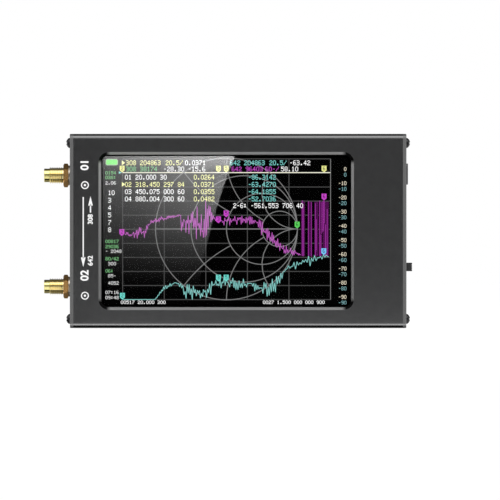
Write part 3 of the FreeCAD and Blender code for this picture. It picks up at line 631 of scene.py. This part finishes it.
# The comb that the phase curve ends in.
comb_low, comb_high = 27.8, 49.3
haze_below = 0.4             # how far the haze behind it stays under its top
comb_groups = ((24.35, 25.8), (27.0, 28.5), (29.5, 31.0), (31.3, 32.4), (32.7, 35.0))
comb_lines = (               # middle, width, low and high of each full jump
    (24.8, 0.3, 27.8, 49.3), (25.25, 0.3, 27.8, 47.0), (27.15, 0.3, 27.8, 49.0), (28.3, 0.25, 27.6, 48.6),
    (29.85, 0.3, 27.8, 48.2), (30.25, 0.25, 30.0, 42.0), (31.5, 0.3, 27.8, 49.2), (31.95, 0.3, 27.7, 36.0),
    (32.3, 0.2, 36.5, 48.6), (32.65, 0.2, 37.0, 49.0), (33.0, 0.3, 37.5, 49.3), (33.35, 0.25, 40.5, 49.0),
    (33.75, 0.35, 27.7, 40.0), (34.4, 0.3, 27.8, 46.0),
)


def wander(shape, pitch, rng):
    """Points along a measured curve of this shape, which jumps up and down by turns."""
    points = []
    side = 1
    for (x0, z0, jump0), (x1, z1, jump1) in zip(shape, shape[1:]):
        count = max(1, round((x1 - x0) / pitch))
        for i in range(count):
            t = i / count
            jump = jump0 + (jump1 - jump0) * t
            z = z0 + (z1 - z0) * t + side * rng.uniform(least_jump, full_jump) * jump
            points.append((x0 + (x1 - x0) * t, max(grid_bottom, z)))
            side = -side
    return points


def jagged_line(name, points, width, number, material):
    """A bar from each point to the next. Every other bar lies one layer nearer the lens, so that no two
    share a plane."""
    bars = list(zip(points, points[1:]))
    for part in (0, 1):
        plates = layer(number + part)
        for start, end in bars[part::2]:
            along = (Vector(end) - Vector(start)).normalized()
            reach_x, reach_z = -along.y * width / 2, along.x * width / 2
            plates.add([(start[0] - reach_x, start[1] - reach_z), (end[0] - reach_x, end[1] - reach_z),
                        (end[0] + reach_x, end[1] + reach_z), (start[0] + reach_x, start[1] + reach_z)])
        plates.piece(name + "_" + str(part + 1), material)


def traces():
    """Two measured curves; the phase curve ends in a comb of full jumps."""
    rng = random.Random(trace_seed)
    phase = wander(phase_shape, phase_pitch, rng)
    jagged_line("display_phase_trace", phase, phase_width, 2, lit("lit_magenta", magenta, phase_light))
    haze = layer(1)
    comb = layer(2)
    for left, right in comb_groups:
        haze.bar(left, comb_low, right, comb_high - haze_below)
    for middle, width, low, high in comb_lines:
        comb.bar(middle - width / 2, low, middle + width / 2, high)
    haze.piece("display_phase_haze", lit("lit_haze", comb_magenta, haze_light))
    comb.piece("display_phase_comb", lit("lit_comb", comb_magenta, comb_light))
    gain = wander(gain_shape, gain_pitch, rng) + wander(gain_ripple, ripple_pitch, rng)
    jagged_line("display_gain_trace", gain, gain_width, 4, lit("lit_cyan", cyan))


marker_half, marker_shoulder, marker_height = 0.95, 0.8, 2.6
marker_text_left, marker_text_below = 0.42, 0.3      # of the flag's middle, and of its top
marker_places = {            # each curve's colour, then the x, tip and number of its markers
    "yellow": ((0.85, 0.85, 0.3),
               ((-44.8, 60.1, "2"), (-7.6, 60.1, "3"), (-4.6, 60.1, "5"), (33.2, 60.1, "6"))),
    "green": ((0.12, 0.7, 0.12), ((22.8, 38.5, "6"),)),
    "magenta": ((0.62, 0.07, 0.62),
                ((-44.9, 35.6, "2"), (-7.6, 40.5, "3"), (-4.6, 42.8, "5"), (33.2, 49.3, "6"))),
    "cyan": ((0.17, 0.75, 0.66), ((-44.7, 11.0, "2"), (-7.6, 18.0, "3"), (-4.6, 18.0, "5"))),
    "blue": ((0.2, 0.6, 1.0), ((33.1, 28.2, "6"),)),
}


def marker(flags, numbers, x, tip, number):
    """A five-sided flag that points down at its place, with a dark number."""
    left, right = x - marker_half, x + marker_half
    shoulder, top = tip + marker_shoulder, tip + marker_height
    flags.add([(x, tip), (right, shoulder), (right, top), (left, top), (left, shoulder)])
    write(numbers, number, x - marker_text_left, top - marker_text_below, marker_text)


def markers():
    """The numbered flags on the curves."""
    numbers = layer(7)
    for name, (colour, spots) in marker_places.items():
        flags = layer(6)
        for x, tip, number in spots:
            marker(flags, numbers, x, tip, number)
        flags.piece("display_markers_" + name, lit("lit_marker_" + name, colour))
    numbers.piece("display_marker_numbers", lit("lit_black", (0.02, 0.02, 0.02), number_light))


def in_rows(left, texts):
    """One reading in each of the four rows for the markers."""
    return [(text, left, "row_" + str(number)) for number, text in enumerate(texts, 1)]


row_tops = {"head_1": 64.75, "head_2": 62.35,
            "row_1": 59.2, "row_2": 56.4, "row_3": 53.6, "row_4": 50.8, "span": 48.2}
readings = {                 # each colour, then text, left end and row
    "yellow": ((0.86, 0.86, 0.36),
               [("308 204863", -43.3, "head_1"), ("20.5/", -28.0, "head_1"),
                ("02 318.450 297 84", -43.7, "row_2")]
               + in_rows(-17.1, ("0.0264", "0.0371", "0.0355", "0.0482"))),
    "white": ((0.95, 0.95, 0.95),
              [("0.0371", -20.5, "head_1"), ("-63.42", 19.9, "head_1"), ("-28.30 -15.6", -28.8, "head_2"),
               ("58.10", 16.6, "head_2"), ("01 20.000 30", -43.7, "row_1"),
               ("03 450.075 000 60", -43.7, "row_3"), ("04 880.004 300 60", -43.7, "row_4"),
               ("2-6: -561.553 706 40", -1.9, "span")]),
    "cyan": ((0.2, 0.62, 0.58),
             [("642 204863", -3.1, "head_1"), ("20.5/", 12.1, "head_1")]
             + in_rows(3.9, ("-86.3142", "-63.4270", "-64.1855", "-52.7036"))),
    "green": ((0.16, 0.5, 0.2), [("308 38174", -43.3, "head_2")]),
    "magenta": ((0.5, 0.07, 0.5), [("642 96403", -2.5, "head_2"), ("60-/", 10.5, "head_2")]),
}
side_left = -50.2
side_digits = (("10", 53.2), ("3", 50.3), ("4", 47.4), ("5", 44.6), ("7", 41.7), ("8", 38.9))
span_top = 10.62
span_readings = (("00517 20.000 300", -45.3), ("0027 1.500 000 000 900", 9.6))
column_left = -51.25
column_readings = {          # each colour, then text and top
    "green": ((0.2, 0.55, 0.22),
              [("0154", 60.6), ("038:", 58.8), ("00817", 34.1), ("29036", 32.1), ("80/42", 27.4),
               ("06:", 22.7)]),
    "white": ((0.8, 0.8, 0.8),
              [("2.06", 56.7), ("- 2048", 30.3), (" 300", 25.5), (" 85-", 20.8), (" 4052", 18.0),
               ("07:16", 14.4), ("09:48", 12.4)]),
}
scale_right = 42.0
scale_pitch = 5.49
scales = (                   # name, colour and the first number's top
    ("cream", (0.8, 0.72, 0.56), 62.15),
    ("teal", (0.2, 0.4, 0.42), 59.95),
)


def readouts():
    """Numbers along the top, in the left column and under the grid."""
    for name, (colour, lines) in readings.items():
        plates = layer(4)
        for text, left, row in lines:
            write(plates, text, left, row_tops[row])
        if name == "white":
            for text, top in side_digits:
                write(plates, text, side_left, top)
            for text, left in span_readings:
                write(plates, text, left, span_top, span_text)
        plates.piece("display_readings_" + name, lit("lit_reading_" + name, colour, text_light))
    for name, (colour, lines) in column_readings.items():
        plates = layer(4)
        for text, top in lines:
            write(plates, text, column_left, top, small_text)
        plates.piece("display_column_" + name, lit("lit_column_" + name, colour, text_light))


def scale_numbers():
    """The two number scales on the right, one for each curve."""
    for name, colour, top in scales:
        plates = layer(3)
        for row in range(grid_rows):
            text = str(-10 * row)
            left = scale_right - len(text) * scale_text[0]
            write(plates, text, left, top - row * scale_pitch, scale_text)
        plates.piece("display_scale_" + name, lit("lit_scale_" + name, colour, text_light))


def pointer(plates, left, low, high):
    """A small arrowhead that points right."""
    plates.add([(left, low), (left + 1.2, (low + high) / 2), (left, high)])


def pointers():
    """Small arrowheads beside the active lines and the level line."""
    active = layer(3)
    for row in ("head_1", "row_2"):
        pointer(active, -44.9, row_tops[row] - 1.8, row_tops[row])
    active.piece("display_pointers", lit("lit_pointer", (1.0, 1.0, 0.45), text_light))
    level = layer(3)
    pointer(level, -46.1, level_line - 0.5, level_line + 0.5)
    level.piece("display_level_pointer", lit("lit_level_pointer", cyan))


def battery_sign():
    """The battery sign: a bright field with a paler edge behind it."""
    low, high, left, right, corner = 62.85, 65.3, -51.2, -46.4, 0.7
    corners = ((right, low, -90), (right, high, 0), (left, high, 90), (left, low, 180))
    parts = (("display_battery_edge", layer(2), 0.0, (0.55, 0.8, 0.5), 0.7),
             ("display_battery", layer(3), 0.3, (0.2, 0.85, 0.17), 1.0))
    for name, plates, inset, colour, strength in parts:
        outline = []
        for x, z, start in corners:
            inward_x = corner if x == left else -corner
            inward_z = corner if z == low else -corner
            outline += arc((x + inward_x, z + inward_z), corner - inset, start, start + 90, 6)
        plates.add(outline)
        plates.piece(name, lit("lit_" + name, colour, strength))


# ------------------------------------------------ face print

# Places and sizes on the face are in millimetres.
print_proud = 0.012          # how far the ink stands off the face
print_root = 0.012           # and how far it reaches into it
ink_swell = 0.03             # how much bolder the numbers are than their font, as a share of their size
port_x = -59.15              # the middle of the signs and numbers beside the ports
port_signs = (55.2, 12.5)
port_ring, port_ring_width, port_dot = 1.32, 0.42, 0.45
long_arrow = -59.8           # down, from the first port to the second
short_arrow = -57.0          # up, beside the first port
head_half = 0.9
face_numbers = (             # text, size, x and z of the middle
    ("face_number_port_1", "01", 4.2, port_x, 63.05),
    ("face_number_port_2", "02", 4.2, port_x, 20.35),
    ("face_number_reflected", "308", 2.6, short_arrow, 42.0),
    ("face_number_through", "642", 2.6, short_arrow, 26.0),
)


def close_seams(mesh):
    """Joins the fronts, backs and sides of the digits, which share no points at first."""
    solid = bmesh.new()
    solid.from_mesh(mesh)
    bmesh.ops.remove_doubles(solid, verts=solid.verts, dist=0.0001 * MM)
    solid.to_mesh(mesh)
    solid.free()
    mesh.shade_flat()


def printed_number(name, text, size, x, z, ink):
    """A number in the face's ink that reads from below upward."""
    curve = bpy.data.curves.new(name, "FONT")
    curve.body = text
    curve.size = size * MM
    curve.align_x = "CENTER"
    curve.align_y = "CENTER"
    curve.offset = ink_swell * size * MM
    curve.extrude = (print_proud + print_root) / 2 * MM
    words = bpy.data.objects.new(name + "_curve", curve)
    bpy.context.scene.collection.objects.link(words)
    words.rotation_euler = (math.radians(90), math.radians(-90), 0)
    words.location = Vector((x, face_front - (print_proud - print_root) / 2, z)) * MM
    bpy.context.view_layer.update()
    mesh = bpy.data.meshes.new_from_object(words)
    mesh.transform(words.matrix_world)
    close_seams(mesh)
    mesh.name = name
    mesh.materials.clear()
    mesh.materials.append(ink)
    bpy.data.objects.remove(words)
    made = bpy.data.objects.new(name, mesh)
    bpy.context.scene.collection.objects.link(made)
    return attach(made, ROOT)


def face_signs(ink):
    """A ring and dot beside each port, and the arrows that show which way the signal goes."""
    signs = Plates(face_front - print_proud, print_proud + print_root)
    for z in port_signs:
        ring(signs, (port_x, z), port_ring, port_ring_width)
        signs.add(arc((port_x, z), port_dot, 0, 345, 23))
    x, shaft_half = long_arrow, 0.23
    signs.bar(x - shaft_half, 27.0, x + shaft_half, 50.6)
    signs.add([(x, 23.6), (x + head_half, 27.3), (x - head_half, 27.3)])
    x, shaft_half = short_arrow, 0.26
    signs.bar(x - shaft_half, 44.6, x + shaft_half, 47.8)
    signs.add([(x - head_half, 47.3), (x + head_half, 47.3), (x, 50.9)])
    signs.piece("face_signs", ink)


def face_print():
    """The signs and the plain numbers beside the ports."""
    ink = ink_white()
    face_signs(ink)
    for name, text, size, x, z in face_numbers:
        printed_number(name, text, size, x, z, ink)


# ------------------------------------------------ studio

# The camera looks straight at the face.
view_scale = 193.05          # millimetres across the frame at the case's face
view_x = 4.587
view_z = 30.15
view_distance = 5.0          # from the face, in metres
sensor_width = 36.0

# The surround and the paper.
ambient = 0.8                # what the world gives to diffuse surfaces
paper = 0.88
floor_glow = 0.53            # the paper's own light as it is seen
floor_shadow = 0.6           # and the share of the light on it that is seen, where shadows show
floor_reach = 6.0            # in metres

# The levels of the cards that metal and glass reflect. Paper white is 1.
lens_card = 0.006            # before the lens, so that the display stays black
soft_card = 0.02             # round that one, and where else nothing should show
right_card = 0.6             # far right, for the right side of the bevel and the case
slit_card = 0.56             # between the left cards, for the fronts of the ports and the case's left edge
floor_far_card, floor_middle_card, floor_close_card = 0.03, 0.23, 0.6
ports_front_card = 1.3       # before the ports, for the upper lines on their barrels
ports_floor_card = 1.5       # on the floor before the ports, for the lower lines
behind_ports_card = 0.28
behind_nuts_card = 0.17
far_card = 0.1               # behind and above everything, for views from the back

# Where the cards are, in metres. Front cards stand at front_y, floor cards lie between the depths.
front_y, far_y, middle_y, near_y = -1.0, -0.35, -0.11, -0.018
ports_card_y = -0.4
wide = 1.0
front_high = 0.45
lens_card_right, lens_card_top = 0.2, 0.12
slit_left = -0.115
case_card_x = -0.0685        # the floor left of here is the ports', and right of here the case's
face_left = -65.3            # millimetres: a mirror at the face's left end shows where its cards stop,
ports_left = -78.0           # and one at the ports' tips shows where theirs do

# The sheen on the lens's left half, in millimetres of the row frame. It is brightest at its top right.
sheen_left, sheen_right, sheen_height = -52.5, 0.0, 60.0
sheen_distance = 26.0        # before the middle plane
sheen_spread = 4             # degrees, so that it shows from straight ahead only
sheen_level = 0.021
edge_top_z, edge_top_x = 66.8, -1.2      # where the slanted right edge starts
edge_slope, edge_bend = -0.40, 0.0024    # how it runs left, and less so, on its way down
edge_soft = 0.15
rise_low, rise_high = 13.0, 59.0         # it grows upward from nothing between these heights
top_low, top_high, top_gain = 60.5, 66.0, 1.2        # and again between these
cut_low, cut_high = 66.4, 66.9           # and ends at the window's top edge
side_low, side_high, side_gain = -52.0, -5.0, 2.2    # it grows rightward too


def aim(piece, target):
    piece.rotation_mode = "QUATERNION"
    piece.rotation_quaternion = (Vector(target) - piece.location).to_track_quat("-Z", "Y")


def add_camera():
    """A far camera straight before the face."""
    lens = bpy.data.cameras.new("camera")
    lens.sensor_width = sensor_width
    lens.lens = sensor_width * view_distance / (view_scale * MM)
    camera = bpy.data.objects.new("camera", lens)
    bpy.context.scene.collection.objects.link(camera)
    camera.location = (view_x * MM, face_front * MM - view_distance, view_z * MM)
    aim(camera, (view_x * MM, 0, view_z * MM))
    bpy.context.scene.camera = camera


def add_lamp(name, location, target, width, height, radiance):
    """A soft box that the camera doesn't see. Its radiance is what a mirror would show."""
    light = bpy.data.lights.new(name, "AREA")
    light.shape = "RECTANGLE"
    light.size = width
    light.size_y = height
    light.energy = radiance * math.pi * width * height
    lamp = bpy.data.objects.new(name, light)
    bpy.context.scene.collection.objects.link(lamp)
    lamp.location = location
    aim(lamp, target)
    lamp.visible_camera = False
    return lamp


def sheen_shape(tree):
    """How bright the sheen is over its lamp: its slanted edge and its slow changes."""
    position = node(tree, "ShaderNodeNewGeometry").outputs["Position"]
    split = node(tree, "ShaderNodeSeparateXYZ", {0: position})
    x = calc(tree, "DIVIDE", split.outputs[0], MM)
    z = calc(tree, "DIVIDE", split.outputs[2], MM)
    down = calc(tree, "SUBTRACT", edge_top_z, z)
    slope = calc(tree, "MULTIPLY", down, edge_slope)
    bend = calc(tree, "MULTIPLY", calc(tree, "POWER", down, 2.0), edge_bend)
    edge_x = calc(tree, "ADD", calc(tree, "ADD", slope, bend), edge_top_x)
    inside = step(tree, calc(tree, "SUBTRACT", edge_x, x), -edge_soft, edge_soft)
    rise = calc(tree, "POWER", step(tree, z, rise_low, rise_high), 2.0)
    rise = calc(tree, "ADD", rise, step(tree, z, top_low, top_high, 0.0, top_gain))
    rise = calc(tree, "MULTIPLY", rise, step(tree, z, cut_high, cut_low))
    level = calc(tree, "MULTIPLY", rise, step(tree, x, side_low, side_high, 1.0, side_gain))
    return calc(tree, "MULTIPLY", level, inside)


def add_glare():
    """A narrow lamp straight before the lens, seen only as the sheen on the lens's left half."""
    middle = Vector(((sheen_left + sheen_right) / 2, 0, window_z)) * MM
    lamp = add_lamp("glare", middle - Vector((0, sheen_distance * MM, 0)), middle,
                    (sheen_right - sheen_left) * MM, sheen_height * MM, 1.0)
    lamp.data.spread = math.radians(sheen_spread)
    lamp.visible_diffuse = False
    lamp.visible_transmission = False
    lamp.data.use_nodes = True
    tree = lamp.data.node_tree
    strength = calc(tree, "MULTIPLY", sheen_shape(tree), sheen_level)
    feed(tree, tree.nodes["Emission"].inputs["Strength"], strength)


def stage_mesh(name, outline, location, material):
    """A flat stage piece with this outline."""
    mesh = bpy.data.meshes.new(name)
    mesh.from_pydata([Vector(p) for p in outline], [], [tuple(range(len(outline)))])
    mesh.materials.append(material)
    made = bpy.data.objects.new(name, mesh)
    bpy.context.scene.collection.objects.link(made)
    made.location = location
    return made


def seen_directly(tree):
    """1 where the camera looks, or a reflection or glass shows it, and 0 where light is gathered."""
    rays = node(tree, "ShaderNodeLightPath")
    seen = calc(tree, "MAXIMUM", rays.outputs["Is Camera Ray"], rays.outputs["Is Glossy Ray"])
    return calc(tree, "MAXIMUM", seen, rays.outputs["Is Transmission Ray"])


def add_world():
    """An even pale surround, which is seen white."""
    world = bpy.data.worlds.new("studio")
    bpy.context.scene.world = world
    world.use_nodes = True
    tree = world.node_tree
    background = tree.nodes["Background"]
    background.inputs["Color"].default_value = grey(1)
    feed(tree, background.inputs["Strength"], step(tree, seen_directly(tree), 0.0, 1.0, ambient, 1.0))


def add_floor():
    """White paper. What looks at it sees it white, with the object's shadow."""
    made, tree, shader = new_material("floor_paper")
    seen = seen_directly(tree)
    feed(tree, shader.inputs["Base Color"], mix(tree, seen, grey(paper), grey(floor_shadow)))
    shader.inputs["Roughness"].default_value = 0.9
    shader.inputs["Specular IOR Level"].default_value = 0.0
    shader.inputs["Emission Color"].default_value = grey(1)
    feed(tree, shader.inputs["Emission Strength"], step(tree, seen, 0.0, 1.0, 0.0, floor_glow))
    made.cycles.emission_sampling = "NONE"
    reach = floor_reach
    outline = [(-reach, -reach, 0), (reach, -reach, 0), (reach, reach, 0), (-reach, reach, 0)]
    stage_mesh("floor", outline, (0, 0, -0.0001), made)


def add_flag(name, outline, location, level):
    """A card that only reflections see. It gives metal its dark and its bright lines."""
    made, _, glow = glowing_material(name, level)
    glow.inputs["Color"].default_value = grey(1)
    card = stage_mesh(name, outline, location, made)
    card.visible_camera = False
    card.visible_diffuse = False
    card.visible_shadow = False


def standing_flag(name, left, right, low, high, y, level, lift=0.001):
    outline = [(left, 0, low), (right, 0, low), (right, 0, high), (left, 0, high)]
    add_flag(name, outline, (0, y, lift), level)


def lying_flag(name, left, right, front, back, z, level):
    outline = [(left, front, 0), (right, front, 0), (right, back, 0), (left, back, 0)]
    add_flag(name, outline, (0, 0, z), level)


def across(x, y):
    """Where a mirror's x at the face shows at depth y: the line of sight comes back a little outward. The
    x is in millimetres, the rest in metres."""
    away = (face_front * MM - y) / view_distance
    return x * MM + (x - view_x) * MM * away


def front_cards():
    """What the face and the lens reflect."""
    left = across(face_left, front_y)
    cards = (("flag_front_middle", left, lens_card_right, 0, lens_card_top, lens_card),
             ("flag_front_top", left, lens_card_right, lens_card_top, front_high, soft_card),
             ("flag_front_right", lens_card_right, wide, 0, front_high, right_card),
             ("flag_front_slit", slit_left, left, 0, front_high, slit_card),
             ("flag_front_left", -wide, slit_left, 0, front_high, soft_card))
    for name, x0, x1, z0, z1, level in cards:
        standing_flag(name, x0, x1, z0, z1, front_y, level)


def floor_cards():
    """What the case's lower edges reflect."""
    lying_flag("flag_floor_corner", case_card_x, -0.058, middle_y, near_y, 0.0007, floor_middle_card)
    strips = (("flag_floor_far", front_y, far_y, floor_far_card),
              ("flag_floor_middle", far_y, middle_y, floor_middle_card),
              ("flag_floor_close", middle_y, near_y, floor_close_card))
    for name, y0, y1, level in strips:
        x0, x1 = across(face_left, y0), across(face_left, y1)
        add_flag(name, [(x0, y0, 0), (wide, y0, 0), (wide, y1, 0), (x1, y1, 0)], (0, 0, 0.0005), level)
    near_x = across(ports_left, near_y)
    card = [(-wide, front_y, 0), (slit_left, front_y, 0), (near_x, near_y, 0), (-wide, near_y, 0)]
    add_flag("flag_floor_left", card, (0, 0, 0.0005), soft_card)


def port_cards():
    """What the ports' barrels and nuts reflect."""
    lying_flag("flag_floor_ports", -0.079, case_card_x, -0.17, -0.0135, 0.0006, ports_floor_card)
    left, right = across(ports_left, ports_card_y), across(face_left, ports_card_y)
    standing_flag("flag_ports", left, right, 0, 0.085, ports_card_y, ports_front_card)
    # Painted shade: dark cards under the ports stand in for the shadow beneath them, seen only in
    # reflections.
    for name, z in (("flag_shade_under_port_1", 0.0430), ("flag_shade_under_port_2", 0.0004)):
        lying_flag(name, -0.078, -0.066, -0.0125, -0.003, z, soft_card)
    lying_flag("flag_behind_ports", -0.09, -0.066, -0.003, 0.12, 0.0003, behind_ports_card)
    lying_flag("flag_behind_nuts", -0.0692, -0.056, -0.002, 0.12, 0.0004, behind_nuts_card)


def add_studio():
    """The surround, the paper, the lamps and the cards."""
    add_world()
    add_floor()
    add_lamp("front_box", (0.1, -0.75, 1.15), (0, 0, 0.03), width=1.8, height=1.0, radiance=1.6)
    front_cards()
    floor_cards()
    port_cards()
    # Painted shade: a dark card under the case stands in for its contact shadow, seen only in reflections.
    lying_flag("flag_shade_under_case", -0.065, 0.065, -0.0113, 0.011, 0.0002, soft_card)
    standing_flag("flag_back", -1.2, 1.2, 0.1, 1.2, 0.8, far_card, lift=0)
    lying_flag("flag_top", -1.2, 1.2, 0, 0.8, 1.2, far_card)
    add_glare()


# ------------------------------------------------ scene

bpy.context.scene.view_settings.view_transform = "Standard"
dress_frame()
display_grid()
polar_chart()
traces()
markers()
readouts()
scale_numbers()
pointers()
battery_sign()
face_print()
add_camera()
add_studio()

bpy.context.view_layer.update()
